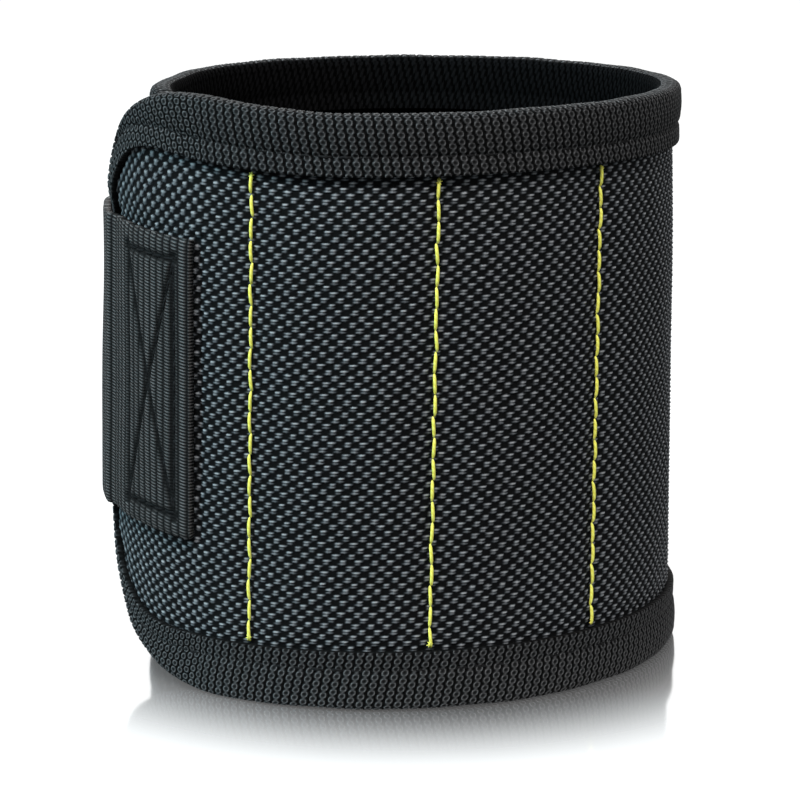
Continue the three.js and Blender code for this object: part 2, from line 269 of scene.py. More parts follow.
def tape_relief(along, across):
    place = (along + tape_slant * across) / cord_pitch
    cord = np.floor(place)
    side = place - cord - 0.5
    cell = across / bar_pitch + 0.5 * (cord % 2)
    end = cell - np.floor(cell) - 0.5
    wide = np.abs(side / bead_half_width) ** bead_roundness
    tall = np.abs(end / bead_half_length) ** bead_roundness
    reach = (wide + tall) ** (1 / bead_roundness)
    return np.sqrt(np.clip(1 - reach**5, 0, 1)) * (1 - bead_dish * dent(reach, dish_width))


def webbing_relief(along):
    place = along / rib_pitch
    side = place - np.floor(place) - 0.5
    grouped = 0.95 + 0.05 * np.cos(full_turn * place / ribs_in_group)
    return grouped * np.sqrt(np.clip(1 - np.abs(side / 0.5) ** 2.4, 0, 1))


def knit_relief(along, up):
    rib = np.cos(full_turn * along / knit_pitch)
    loop = np.cos(full_turn * (up / knit_course + 0.25 * rib))
    return 0.5 + 0.38 * rib + 0.12 * loop


# A hand-sewn unevenness that never repeats along the band
def unevenness(along, up):
    return (
        0.5 * np.sin(along / 3.7 + 1.3) * np.sin(up / 5.9 + 0.4)
        + 0.35 * np.sin(along / 1.9 + up / 7.3 + 2.1)
        + 0.25 * np.sin(along / 7.1 - up / 4.3)
    )


# A sheet of cloth, gridded over two sets of stations and moved into place by its shape.
def make_cloth(name, lengths, heights, shape):
    bm = bmesh.new()
    bmesh.ops.create_grid(bm, x_segments=len(lengths) - 1, y_segments=len(heights) - 1, size=0.5)
    mesh = bpy.data.meshes.new(name)
    bm.to_mesh(mesh)
    bm.free()
    flat = np.empty(len(mesh.vertices) * 3, np.float32)
    mesh.vertices.foreach_get("co", flat)
    flat = flat.reshape(-1, 3).astype(float)
    column = np.rint((flat[:, 0] + 0.5) * (len(lengths) - 1)).astype(int)
    row = np.rint((flat[:, 1] + 0.5) * (len(heights) - 1)).astype(int)
    points, weave, relief = shape(lengths[column], heights[row])
    mesh.vertices.foreach_set("co", points.astype(np.float32).ravel())
    corner = np.empty(len(mesh.loops), np.int32)
    mesh.loops.foreach_get("vertex_index", corner)
    layer = mesh.uv_layers.new(name="weave")
    layer.data.foreach_set("uv", weave[corner].astype(np.float32).ravel())
    attribute = mesh.attributes.new("relief", "FLOAT", "POINT")
    attribute.data.foreach_set("value", relief.astype(np.float32))
    mesh.shade_smooth()
    return add_piece(name, mesh)


def add_piece(name, mesh):
    piece = bpy.data.objects.new(name, mesh)
    scene.collection.objects.link(piece)
    return piece


# Distance to the nearest pocket seam, and whether the place is in a pocket at all.
def pocket_place(angle):
    from_seam = np.min([np.abs(angle - seam) for seam in seam_angles], axis=0) * cuff_radius
    return from_seam, (angle > seam_angles[0]) & (angle < seam_angles[-1])


# Half of the band's height that is left at a distance from a rounded end, inside an inset outline.
def half_height(distance, corner, inset):
    reach = np.clip(corner - distance, 0, corner - inset)
    return band_middle - corner + np.sqrt((corner - inset) ** 2 - reach**2)


def end_distance(angle):
    return np.minimum((angle - flap_end) * cuff_radius, (tail_end - angle) * tail_radius)


def squeezed(angle, height):
    near_flap = angle < seam_angles[2]
    corner = np.where(near_flap, flap_corner, tail_corner)
    half = half_height(end_distance(angle), corner, edge_inset)
    return band_middle + (height - band_middle) * half / (band_middle - edge_inset)


# Heights, depths and widths of the cloth's forms, in millimetres
pocket_swell = 0.45
swell_run = 9
swell_half = 34.5
seam_pinch = 0.32
pinch_width = 1.5
thread_pinch = 0.1
thread_width = 0.6
strap_mark = 0.4
mark_offset = 0.5
mark_width = 1.1
mark_margin = 0.6
end_fullness = 0.5
fullness_run = (-14, -4)
fullness_margin = (0.5, 3)
float_depth = 0.42
panel_wear = 0.13
lining_puff = 0.35
puff_half = 31
puff_run = (3, 13)
rib_depth = 0.12
lining_wear = 0.05
sunk_at_seam = 0.16


def panel_shape(length, height):
    angle = angle_at(length)
    up = squeezed(angle, height)
    relief = nylon_relief(length, up)
    from_seam, inside = pocket_place(angle)
    swell = np.where(inside, pocket_swell * smooth_step(from_seam, 0, swell_run), 0)
    swell = swell * (1 - np.clip(np.abs(up - band_middle) / swell_half, 0, 1) ** 4)
    pinch = seam_pinch * dent(from_seam, pinch_width) + thread_pinch * dent(from_seam, thread_width)
    before_strap = (angle - strap_start) * cuff_radius
    past_strap = np.abs(up - strap_middle) - strap_half
    pressed = strap_mark * dent(before_strap - mark_offset, mark_width) * (past_strap < mark_margin)
    beside_end = smooth_step((flap_end - angle) * cuff_radius, *fullness_run)
    full = swell + end_fullness * beside_end * smooth_step(past_strap, *fullness_margin)
    worn = panel_wear * unevenness(length, up)
    out = full - pinch - pressed + worn - float_depth * (1 - relief) - panel_face
    return on_cuff(angle, up, out), np.column_stack((length, up)), relief


def lining_shape(length, height):
    angle = angle_at(-length)
    up = squeezed(angle, height)
    relief = knit_relief(length, up)
    from_seam, inside = pocket_place(angle)
    from_middle = np.abs(up - band_middle)
    sunk = sunk_at_seam + (1 - sunk_at_seam) * smooth_step(from_seam, 0, pad_margin)
    pad_limit = pad_edge - pad_clearance
    sunk = sunk * smooth_step(band_middle - from_middle, binding_width, pad_limit)
    puffed = lining_puff * smooth_step(from_seam, *puff_run)
    puffed = puffed * (1 - np.clip(from_middle / puff_half, 0, 1) ** 3)
    depth = np.where(inside, sunk * lining_sink + puffed, 0)
    worn = lining_wear * unevenness(length, up)
    out = -lining_back - depth - rib_depth * relief + worn
    return on_cuff(angle, up, out), np.column_stack((length, up)), relief


# Route of the band's edge: a place on the edge and the direction inwards from it, at each run along the tape.
class EdgeRoute:
    def __init__(self, start, stop, top, end=None, corner=0.0, radius=cuff_radius):
        self.top = top
        self.end = end
        self.corner = corner
        self.radius = radius
        self.start = length_at(start)
        self.stop = length_at(stop)
        self.straight_end = None
        if end is not None:
            self.sign = -1 if end < seam_angles[2] else 1
            self.straight_end = length_at(end - self.sign * corner / radius)
            arc = corner * math.pi / 2
            rest = band_middle - corner
            if self.sign < 0:
                self.start = self.straight_end - arc - rest
            else:
                self.stop = self.straight_end + arc + rest

    # The angle, the height, the inward direction (angle and height per mm) and the share of the width left.
    def at(self, run):
        angle = angle_at(run)
        height = np.full_like(run, band_height)
        across = np.zeros_like(run)
        up = np.full_like(run, -1.0)
        turn = np.zeros_like(run)
        if self.end is not None:
            past = np.maximum((run - self.straight_end) * self.sign, 0)
            turn = np.clip(past / self.corner, 0, math.pi / 2)
            down = np.maximum(past - self.corner * math.pi / 2, 0)
            turned = past > 0
            away = -self.sign / self.radius
            angle = np.where(turned, self.end + away * self.corner * (1 - np.sin(turn)), angle)
            height = np.where(turned, band_height - self.corner * (1 - np.cos(turn)) - down, height)
            across = np.where(turned, away * np.sin(turn), across)
            up = np.where(turned, -np.cos(turn), up)
        share = 1 + (gathered_share - 1) * smooth_step(turn, 0, gather_turn)
        if not self.top:
            height = band_height - height
            up = -up
        return angle, height, across, up, share


# The folded tape's section: cut edge, outer leaf, fold over the band's edge, inner leaf, cut edge.
fold_depth = 1.4
fold_run = 5.2
fold_squareness = 2.6
leaf_run = binding_width - fold_depth
tape_width = 2 * leaf_run + fold_run
cut_depth = 0.85
groove_run = 2.8
groove_depth = 0.26
groove_width = 0.45
crown_run = 5.6
crown_height = 0.2
crown_width = 2.0
flare_run = 0.4
flare_height = 0.08
flare_width = 0.9
bead_depth = 0.34
tape_wear = 0.1


def tape_section(across):
    turn = np.clip((across - leaf_run) / fold_run, 0, 1) * math.pi
    half = edge_thickness / 2
    power = 2 / fold_squareness
    run = fold_depth - fold_depth * np.abs(np.sin(turn)) ** power
    out = half * np.sign(np.cos(turn)) * np.abs(np.cos(turn)) ** power - half
    outer = across < leaf_run
    inner = across > leaf_run + fold_run
    run = np.where(outer, binding_width - across, run)
    run = np.where(inner, binding_width - (tape_width - across), run)
    run = np.clip(run, 0, binding_width)
    face = np.where(outer, 1.0, np.where(inner, -1.0, np.cos(turn)))
    rise = np.where(outer | inner, 0.0, -np.sin(turn))
    cut = np.clip(-np.minimum(across, tape_width - across), 0, cut_depth)
    return out, run, face, rise, cut


def tape_shape(route, flip):
    def shape(run, across):
        run = -run if flip else run
        angle, height, turn, up, share = route.at(run)
        out, inward, face, rise, cut = tape_section(across)
        from_fold = (across - tape_width / 2) * share
        from_edge = np.minimum(across, tape_width - across) * share
        relief = tape_relief(run, from_fold)
        on_leaf = np.abs(face) > 0.99
        sewn = np.where(on_leaf, groove_depth * dent(from_edge - groove_run, groove_width), 0)
        flare = np.where(on_leaf, flare_height * dent(from_edge - flare_run, flare_width), 0)
        crown = np.where(on_leaf, crown_height * dent(from_edge - crown_run, crown_width), 0)
        worn = tape_wear * unevenness(run, across)
        lift = crown + flare - sewn - bead_depth * (1 - relief) - cut + worn
        inward = inward * share + rise * lift
        out = out + face * lift
        points = on_cuff(angle + inward * turn, height + inward * up, out)
        # The tucked cut edge takes a gap's relief, so the colour ramp paints it near-black as painted shade.
        return points, np.column_stack((run, from_fold)), np.where(cut > 0, 0.3, relief)

    return shape


def make_tape(name, route, outer_step, inner_step):
    leaf = np.concatenate(
        (
            [-cut_depth],
            even_stations(0, leaf_run + fold_run, bar_pitch / outer_step),
            even_stations(leaf_run + fold_run, tape_width, bar_pitch / inner_step)[1:],
            [tape_width + cut_depth],
        )
    )
    runs = even_stations(route.start, route.stop, cord_pitch / (outer_step + 1))
    if route.top:
        return make_cloth(name, runs, leaf, tape_shape(route, False))
    return make_cloth(name, -runs[::-1], leaf, tape_shape(route, True))


# Gives the leaf inside the cuff the darker copy of the tape's finish, painted shade for the cuff's inside.
def shade_inside_leaf(piece):
    mesh = piece.data
    weave = np.empty(len(mesh.loops) * 2, np.float32)
    mesh.uv_layers["weave"].data.foreach_get("uv", weave)
    first = np.empty(len(mesh.polygons), np.int32)
    mesh.polygons.foreach_get("loop_start", first)
    inside = weave.reshape(-1, 2)[first, 1] > 1.0
    mesh.polygons.foreach_set("material_index", inside.astype(np.int32))


# Stretches of the band, each with at most one fold, cut where a seam covers the join
stretches = [
    ("flap", flap_end, seam_angles[1]),
    ("front", seam_angles[1], seam_angles[2]),
    ("side", seam_angles[2], seam_angles[4]),
    ("tail", seam_angles[4], tail_end),
]


def fold_point(angle, along, radius=band_radius):
    x, y, z = on_cuff(np.array([angle]), np.array([band_middle]), 0.0, radius)[0]
    return (x + MM * along * math.cos(angle), y + MM * along * math.sin(angle), z)


# Folds: the bodies on either side, the angle, and where the bend starts and ends beside it in millimetres
folds = {
    "flap": ("band_front", "end_flap", seam_angles[0] - fold_offset, 0.6, -9.0),
    "side": ("band_front", "band_back", seam_angles[3] + fold_offset, -3.6, 3.6),
    "tail": ("band_back", "band_tail", seam_angles[5] + fold_offset, -0.6, 5.5),
}


def carry(piece, stretch):
    if stretch in folds:
        first, second, angle, before, after = folds[stretch]
        fold_point(angle, before)
        fold_point(angle, after)
        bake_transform(piece)
    else:
        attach(piece, "band_front")


# Nodes of a material or of the sky
class Nodes:
    def __init__(self, tree):
        self.tree = tree

    def add(self, kind, **settings):
        node = self.tree.nodes.new(kind)
        for key, value in settings.items():
            if key in node.inputs:
                node.inputs[key].default_value = value
            else:
                setattr(node, key, value)
        return node

    def link(self, source, target):
        self.tree.links.new(source, target)

    def ramp(self, source, stops):
        node = self.add("ShaderNodeValToRGB")
        elements = node.color_ramp.elements
        for element, (position, colour) in zip((elements[0], elements[1]), (stops[0], stops[-1])):
            element.position = position
            element.color = (*colour, 1)
        for position, colour in stops[1:-1]:
            elements.new(position).color = (*colour, 1)
        self.link(source, node.inputs["Fac"])
        return node.outputs["Color"]

    def spread(self, source, low, high, start=0.0, stop=1.0, kind="LINEAR"):
        node = self.add("ShaderNodeMapRange", interpolation_type=kind)
        node.inputs["From Min"].default_value = start
        node.inputs["From Max"].default_value = stop
        node.inputs["To Min"].default_value = low
        node.inputs["To Max"].default_value = high
        self.link(source, node.inputs["Value"])
        return node.outputs["Result"]

    def combined(self, operation, first, second):
        node = self.add("ShaderNodeMath", operation=operation)
        self.link(first, node.inputs[0])
        self.link(second, node.inputs[1])
        return node.outputs["Value"]

    def noise(self, vector, scale, detail=2.0):
        node = self.add("ShaderNodeTexNoise", Scale=scale, Detail=detail)
        self.link(vector, node.inputs["Vector"])
        return node.outputs["Fac"]

    def stretched(self, vector, scale, turn=0.0, shift=(0, 0, 0)):
        node = self.add("ShaderNodeMapping")
        node.inputs["Location"].default_value = shift
        node.inputs["Scale"].default_value = scale
        node.inputs["Rotation"].default_value = (0, 0, turn)
        self.link(vector, node.inputs["Vector"])
        return node.outputs["Vector"]

    def tinted(self, colour, factor, low, high, start=0.0, stop=1.0):
        mix = self.add("ShaderNodeMix", data_type="RGBA", blend_type="MULTIPLY")
        mix.inputs["Factor"].default_value = 1.0
        self.link(colour, mix.inputs["A"])
        self.link(self.spread(factor, low, high, start, stop), mix.inputs["B"])
        return mix.outputs["Result"]


# A material and its shader
class Finish(Nodes):
    def __init__(self, name):
        self.material = bpy.data.materials.new(name)
        self.material.use_nodes = True
        super().__init__(self.material.node_tree)
        self.shader = self.tree.nodes["Principled BSDF"]

    def set(self, **values):
        for key, value in values.items():
            self.shader.inputs[key.replace("_", " ")].default_value = value

    def bump(self, height, strength, distance):
        node = self.add("ShaderNodeBump", Strength=strength, Distance=distance)
        self.link(height, node.inputs["Height"])
        self.link(node.outputs["Normal"], self.shader.inputs["Normal"])


# A wave texture of scale 1 repeats after this length.
wave_scale = math.pi / 10
twill_turn = math.radians(7)
filament_depth = 0.06 * MM
twill_depth = 0.18 * MM


# A woven finish: colour from the relief, near-black in the gaps as painted shade and pale on the yarn tops as
# painted highlights, rough gaps, yarn that varies from thread to thread, and filaments along the yarn.
# A twill has leaning rows of small loops instead, which lighten and darken the colour as painted highlights
# and painted shade.
def woven_finish(name, stops, filament, roughness, specular, variation=0.3, twill=None):
    finish = Finish(name)
    weave = finish.add("ShaderNodeUVMap", uv_map="weave").outputs["UV"]
    relief = finish.add("ShaderNodeAttribute", attribute_name="relief").outputs["Fac"]
    # Colour by relief: painted shade in the gaps, painted highlights on the yarn tops.
    colour = finish.ramp(relief, stops)
    colour = finish.tinted(colour, finish.noise(weave, 0.55, 3.0), 1 - variation, 1 + variation)
    height = finish.noise(finish.stretched(weave, filament), 1.0, 3.0)
    depth = filament_depth
    if twill:
        rows = finish.add("ShaderNodeTexWave", bands_direction="Y", Scale=wave_scale / twill)
        finish.link(finish.stretched(weave, (1.0, 1.0, 1.0), twill_turn), rows.inputs["Vector"])
        height = rows.outputs["Fac"]
        # The twill rows scale the colour: painted highlights on the loops, painted shade between the rows.
        colour = finish.tinted(colour, height, 0.04, 3.8, 0.38, 1.0)
        depth = twill_depth
    rough = finish.spread(relief, 0.95, roughness, 0.3, 0.9)
    finish.link(colour, finish.shader.inputs["Base Color"])
    finish.link(rough, finish.shader.inputs["Roughness"])
    finish.bump(height, 0.45, depth)
    finish.set(Specular_IOR_Level=specular)
    return finish.material


# Black nylon: near-black stops in the gaps are painted shade, the pale stops on the float tops painted
# highlights.
nylon = woven_finish(
    "ballistic_nylon",
    [
        (0.3, (0.0012, 0.0014, 0.0016)),
        (0.45, (0.009, 0.01, 0.0113)),
        (0.6, (0.055, 0.06, 0.066)),
        (0.75, (0.15, 0.156, 0.166)),
        (0.95, (0.32, 0.326, 0.336)),
    ],
    filament=(0.9, 9.0, 1.0),
    roughness=0.42,
    specular=0.14,
)
# Near-black in the gaps and the beads' dished middles is painted shade, the pale bead rims painted
# highlights.
tape = woven_finish(
    "binding_tape",
    [
        (0.4, (0.0006, 0.0006, 0.0006)),
        (0.62, (0.006, 0.006, 0.0063)),
        (0.73, (0.03, 0.03, 0.031)),
        (0.8, (0.14, 0.14, 0.142)),
    ],
    filament=(7.0, 1.2, 1.0),
    roughness=0.5,
    specular=0.12,
)
# A darker copy of the tape's finish for the leaf inside the cuff: painted shade.
painted_shade_tape = woven_finish(
    "binding_tape_inside_painted_shade",
    [(0.4, (0.0003, 0.0003, 0.0003)), (0.8, (0.0065, 0.0065, 0.007))],
    filament=(7.0, 1.2, 1.0),
    roughness=0.95,
    specular=0.03,
)
# Near-black between the ribs is painted shade; the twill rows add painted highlights and painted shade.
webbing = woven_finish(
    "elastic_webbing",
    [
        (0.3, (0.001, 0.001, 0.001)),
        (0.75, (0.0125, 0.0119, 0.0117)),
        (0.95, (0.035, 0.033, 0.0326)),
    ],
    filament=(7.0, 1.5, 1.0),
    roughness=0.5,
    specular=0.22,
    twill=twill_pitch,
)
# Darker in the furrows between the knit's ribs: painted shade.
knit = woven_finish(
    "knit_lining",
    [(0.1, (0.0006, 0.0006, 0.0007)), (0.95, (0.0055, 0.0057, 0.0062))],
    filament=(6.0, 2.0, 1.0),
    roughness=0.95,
    specular=0.02,
)


def thread_finish(name, dark, bright, roughness, specular):
    finish = Finish(name)
    place = finish.add("ShaderNodeTexCoord").outputs["Object"]
    twist = finish.add("ShaderNodeTexWave", bands_direction="DIAGONAL", Scale=700.0, Distortion=1.0)
    finish.link(place, twist.inputs["Vector"])
    colour = finish.ramp(twist.outputs["Fac"], [(0.0, dark), (0.6, bright)])
    finish.link(colour, finish.shader.inputs["Base Color"])
    finish.bump(twist.outputs["Fac"], 0.4, 0.08 * MM)
    finish.set(Roughness=roughness, Specular_IOR_Level=specular)
    return finish.material


yellow_thread = thread_finish(
    "yellow_thread",
    dark=(0.93, 0.86, 0.1),
    bright=(1.0, 0.97, 0.19),
    roughness=0.5,
    specular=0.35,
)
black_thread = thread_finish(
    "black_thread",
    dark=(0.002, 0.002, 0.0022),
    bright=(0.007, 0.007, 0.0074),
    roughness=0.7,
    specular=0.12,
)


# The band's cloth: outer panel, lining and bindings of each stretch, the tail's more coarsely meshed
def panel_rows(rows_per_pick):
    numbers = np.arange(first_pick * rows_per_pick, last_pick * rows_per_pick + 1)
    rows = numbers * pick_pitch / rows_per_pick
    return np.concatenate(([edge_inset], rows, [band_height - edge_inset]))


lining_edge = np.array([edge_inset, 4.0])
seen_lining = np.linspace(7.5, band_height - 7.5, 93)
lining_rows = np.concatenate((lining_edge, seen_lining, band_height - lining_edge[::-1]))

routes = {}
for stretch, start, stop in stretches:
    first = length_at(start) + (edge_inset if stretch == "flap" else 0)
    last = length_at(stop) - (edge_inset if stretch == "tail" else 0)

    rows_per_pick, steps_per_float = (4, 4) if stretch == "tail" else (6, 5.5)
    columns = even_stations(first, last, float_pitch / steps_per_float)
    panel = make_cloth(f"{stretch}_panel", columns, panel_rows(rows_per_pick), panel_shape)
    panel.data.materials.append(nylon)
    carry(panel, stretch)

    columns = even_stations(-last, -first, knit_pitch / 4)
    lining = make_cloth(f"{stretch}_inner_lining", columns, lining_rows, lining_shape)
    lining.data.materials.append(knit)
    carry(lining, stretch)

    for edge in ("top", "bottom"):
        top = edge == "top"
        if stretch == "flap":
            route = EdgeRoute(start, stop, top, flap_end, flap_corner, cuff_radius)
        elif stretch == "tail":
            route = EdgeRoute(start, stop, top, tail_end, tail_corner, tail_radius)
        else:
            route = EdgeRoute(start, stop, top)
        binding = make_tape(f"{stretch}_{edge}_tape", route, 4 if stretch == "tail" else 6, 2)
        routes[f"{stretch}_{edge}"] = route
        binding.data.materials.append(tape)
        binding.data.materials.append(painted_shade_tape)
        shade_inside_leaf(binding)
        carry(binding, stretch)

replaced_nodes = {
    "flap_panel": "flap_outer_panel",
    "front_panel": "front_outer_panel",
    "side_panel": "back_outer_panel",
    "tail_panel": "tail_outer_panel",
    "flap_inner_lining": "flap_lining",
    "front_inner_lining": "front_lining",
    "side_inner_lining": "back_lining",
    "tail_inner_lining": "tail_lining",
    "flap_top_tape": "flap_binding",
    "front_top_tape": "front_top_binding",
    "front_bottom_tape": "front_bottom_binding",
    "side_top_tape": "back_top_binding",
    "side_bottom_tape": "back_bottom_binding",
    "tail_top_tape": "tail_binding",
}
for piece, node in replaced_nodes.items():
    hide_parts(node)


# One stitch: a round thread that dives into the cloth at both ends, lying along X.
def stitch_mesh(length, thickness):
    bm = bmesh.new()
    bmesh.ops.create_uvsphere(bm, u_segments=8, v_segments=7, radius=1)
    for vert in bm.verts:
        along = max(-1.0, min(1.0, vert.co.z))
        full = math.sqrt(max(0.0, 1 - abs(along) ** 5))
        round_it = math.hypot(vert.co.x, vert.co.y) or 1.0
        side = vert.co.x / round_it * full * thickness / 2
        out = vert.co.y / round_it * full * thickness / 2 - 0.55 * thickness * abs(along) ** 3
        vert.co = Vector((along * length / 2, side, out)) * MM
    bmesh.ops.recalc_face_normals(bm, faces=bm.faces)
    mesh = bpy.data.meshes.new("stitch")
    bm.to_mesh(mesh)
    bm.free()
    mesh.shade_smooth()
    return mesh


# A row of stitches: each is laid at a place on the cuff, turned along the row and out of the cloth.
def sew(name, stitch, places, material):
    bm = bmesh.new()
    for place in places:
        laid = stitch.copy()
        laid.transform(place)
        bm.from_mesh(laid)
        bpy.data.meshes.remove(laid)
    mesh = bpy.data.meshes.new(name)
    bm.to_mesh(mesh)
    bm.free()
    mesh.shade_smooth()
    mesh.materials.append(material)
    piece = add_piece(name, mesh)
    return piece


def stitch_place(angle, height, out, lean, carrier=band_radius, facing=1):
    spot = Vector(on_cuff(np.array([angle]), np.array([height]), out, carrier)[0])
    sideways = Vector((math.cos(angle), math.sin(angle), 0))
    outwards = Vector((math.sin(angle), -math.cos(angle), 0)) * facing
    along = sideways * math.cos(lean) + Vector((0, 0, 1)) * math.sin(lean)
    turn = Matrix((along, outwards.cross(along), outwards)).transposed().to_4x4()
    return Matrix.Translation(spot) @ turn


seam_stitch = stitch_mesh(length=3.3, thickness=0.52)
seam_margin = 0.3
seam_out = -1.0
bobbin_out = -lining_back - 0.62
knot_margin = 0.9
knot_out = -0.95
knot_size = 0.32
seam_sway = 0.09
seam_zigzag = 0.05
seam_stray = 0.03
seam_length = band_height - 2 * binding_width - 2 * seam_margin
seam_count = round(seam_length / stitch_pitch)
seam_bodies = ["band_front"] * 4 + ["band_back"] * 2
for number, angle in enumerate(seam_angles):
    places = []
    bobbin_places = []
    for i in range(seam_count):
        height = binding_width + seam_margin + (i + 0.5) * seam_length / seam_count
        sway = seam_sway * math.sin(2.3 * i + number) / cuff_radius
        lean = math.pi / 2 + seam_zigzag * (-1) ** i + seam_stray * math.sin(1.7 * i + 2 * number)
        places.append(stitch_place(angle + sway, height, seam_out, lean))
        bobbin_places.append(stitch_place(angle + sway, height, bobbin_out, lean, facing=-1))
    for end in (binding_width + knot_margin, band_height - binding_width - knot_margin):
        for lean in (0.25, 1.1, 2.2):
            places.append(stitch_place(angle, end, knot_out, lean) @ Matrix.Scale(knot_size, 4))
    seam = sew(f"pocket_stitching_{number + 1}", seam_stitch, places, yellow_thread)
    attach(seam, seam_bodies[number])
    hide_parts(f"pocket_seam_{number + 1}")
    bobbin = sew(f"pocket_bobbin_{number + 1}", seam_stitch, bobbin_places, black_thread)
    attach(bobbin, seam_bodies[number])


# The strap in two lengths, each with one fold
box_near = strap_start - box_inset / cuff_radius
box_far = strap_ramp_end + box_clear / cuff_radius
box_low = strap_middle - strap_half + box_inset
box_high = strap_middle + strap_half - box_inset
box_depth = 0.38
box_width = 0.5
box_reach = 1.0
out_of_reach = 9
edge_rounding = 0.25
edge_width = 0.5
start_width = 0.6
strap_rib_depth = 0.16
strap_puff = 0.12
strap_wear = 0.1
strap_body = 1.05


def box_distance(angle, up):
    x = angle * cuff_radius
    near, far = box_near * cuff_radius, box_far * cuff_radius
    in_x = (x < near + box_reach) & (x > far - box_reach)
    in_z = (up < box_high + box_reach) & (up > box_low - box_reach)
    sides = np.minimum(np.abs(x - near), np.abs(x - far)) + np.where(in_z, 0, out_of_reach)
    ends = np.minimum(np.abs(up - box_low), np.abs(up - box_high)) + np.where(in_x, 0, out_of_reach)
    share = (x - far) / (near - far)
    slope = (box_high - box_low) / (near - far)
    level = math.hypot(1, slope)
    rising = np.abs(box_low + share * (box_high - box_low) - up) / level
    falling = np.abs(box_high - share * (box_high - box_low) - up) / level
    crossing = np.minimum(rising, falling) + np.where(in_x & in_z, 0, out_of_reach)
    return np.minimum(np.minimum(sides, ends), crossing)


def strap_shape(length, height):
    angle = length / strap_run_radius + flap_end
    corner = strap_tip_corner
    reach = np.clip(corner - (angle - strap_end) * strap_run_radius, 0, corner)
    half = strap_half - corner + np.sqrt(corner**2 - reach**2)
    up = strap_middle + height * half / strap_half
    relief = webbing_relief(length)
    sewn = dent(box_distance(angle, up), box_width)
    from_edge = strap_half - np.abs(height)
    rounded = edge_rounding * dent(from_edge, edge_width)
    start_edge = edge_rounding * dent((strap_start - angle) * cuff_radius, start_width)
    puff = strap_puff * (1 - sewn)
    ribbed = strap_rib_depth * (1 - relief)
    out = strap_thickness + puff - box_depth * sewn - ribbed - rounded - start_edge
    out = out + strap_wear * unevenness(length, up)
    # The relief drops along the box stitching's dent, so the colour ramp paints the pressed line dark:
    # painted shade.
    return on_cuff(angle, up, out, strap_radius), np.column_stack((length, up)), relief * (1 - sewn)


def strap_length(angle):
    return (angle - flap_end) * strap_run_radius


strap_rows = even_stations(-strap_half, strap_half, 0.4)
strap_lengths = {
    "strap_on_flap": (strap_length(strap_split), strap_length(strap_start)),
    "strap_end": (strap_length(strap_end), strap_length(strap_split)),
}
for name, (first, last) in strap_lengths.items():
    strap = make_cloth(name, even_stations(first, last, rib_pitch / 7), strap_rows, strap_shape)
    strap.data.materials.append(webbing)
    body = strap.modifiers.new("thickness", "SOLIDIFY")
    body.thickness = MM * strap_body
    body.offset = -1
    if name == "strap_on_flap":
        ends = ("end_flap", "strap", flap_end, 0.3, -7.0)
    else:
        ends = ("strap", "strap_tip", tip_fold, 4.0, -1.5)
    first_body, second_body, angle, before, after = ends
    still, bent = fold_point(angle, before, strap_radius), fold_point(angle, after, strap_radius)
    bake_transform(strap)
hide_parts("strap_base")
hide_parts("strap_webbing", "strap_tip_webbing")


# Places of stitches along straight lines between corners, each corner an angle and a height.
def line_places(corners, lines, pitch, out, carrier):
    places = []
    for i, j in lines:
        (angle_a, low), (angle_b, high) = corners[i], corners[j]
        wide = (angle_b - angle_a) * cuff_radius
        tall = high - low
        count = round(math.hypot(wide, tall) / pitch)
        for k in range(count):
            share = (k + 0.5) / count
            angle = angle_a + share * (angle_b - angle_a)
            places.append(stitch_place(angle, low + share * tall, out, math.atan2(tall, wide), carrier))
    return places


# The box seam's black stitches
black_stitch = stitch_mesh(length=2.75, thickness=0.55)
box_pitch = 2.9
box_out = strap_thickness - 0.42
box_corners = [(box_near, box_low), (box_near, box_high), (box_far, box_high), (box_far, box_low)]
box_lines = [(0, 1), (1, 2), (2, 3), (3, 0), (0, 2), (1, 3)]
box_places = line_places(box_corners, box_lines, box_pitch, box_out, strap_radius)
box_stitching = sew("box_stitching", black_stitch, box_places, black_thread)
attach(box_stitching, "end_flap")
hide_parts("box_seam")


# The bindings' black stitches, in the groove near the tape's cut edge
groove_pitch = 3.1
groove_out = -0.52
groove_probe = 0.3


def groove_places(route, pitch):
    count = round((route.stop - route.start) / pitch)
    step = (route.stop - route.start) / count
    runs = route.start + (np.arange(count) + 0.5) * step
    spots = []
    for shift in (-groove_probe, groove_probe):
        angle, height, turn, up, share = route.at(runs + shift)
        inward = binding_width * share - groove_run
        spots.append(on_cuff(angle + inward * turn, height + inward * up, groove_out))
    angles = angle + inward * turn
    places = []
    for before, after, angle in zip(*spots, angles):
        outwards = Vector((math.sin(angle), -math.cos(angle), 0))
        along = Vector(after - before).normalized()
        turned = Matrix((along, outwards.cross(along), outwards)).transposed().to_4x4()
        places.append(Matrix.Translation(Vector((before + after) / 2)) @ turned)
    return places


for name, route in routes.items():
    places = groove_places(route, groove_pitch)
    stitching = sew(f"{name}_stitching", black_stitch, places, black_thread)
    carry(stitching, name.split("_")[0])


# A plain finish with a fine grain
def plain_finish(name, colour, roughness, specular, grain, depth, metal=0.0):
    finish = Finish(name)
    place = finish.add("ShaderNodeTexCoord").outputs["Object"]
    speck = finish.noise(place, grain, 4.0)
    dark = tuple(0.7 * part for part in colour)
    finish.link(finish.ramp(speck, [(0.3, dark), (0.7, colour)]), finish.shader.inputs["Base Color"])
    finish.link(finish.spread(speck, roughness - 0.1, roughness + 0.1), finish.shader.inputs["Roughness"])
    finish.bump(speck, 0.3, depth)
    finish.set(Specular_IOR_Level=specular, Metallic=metal)
    return finish.material


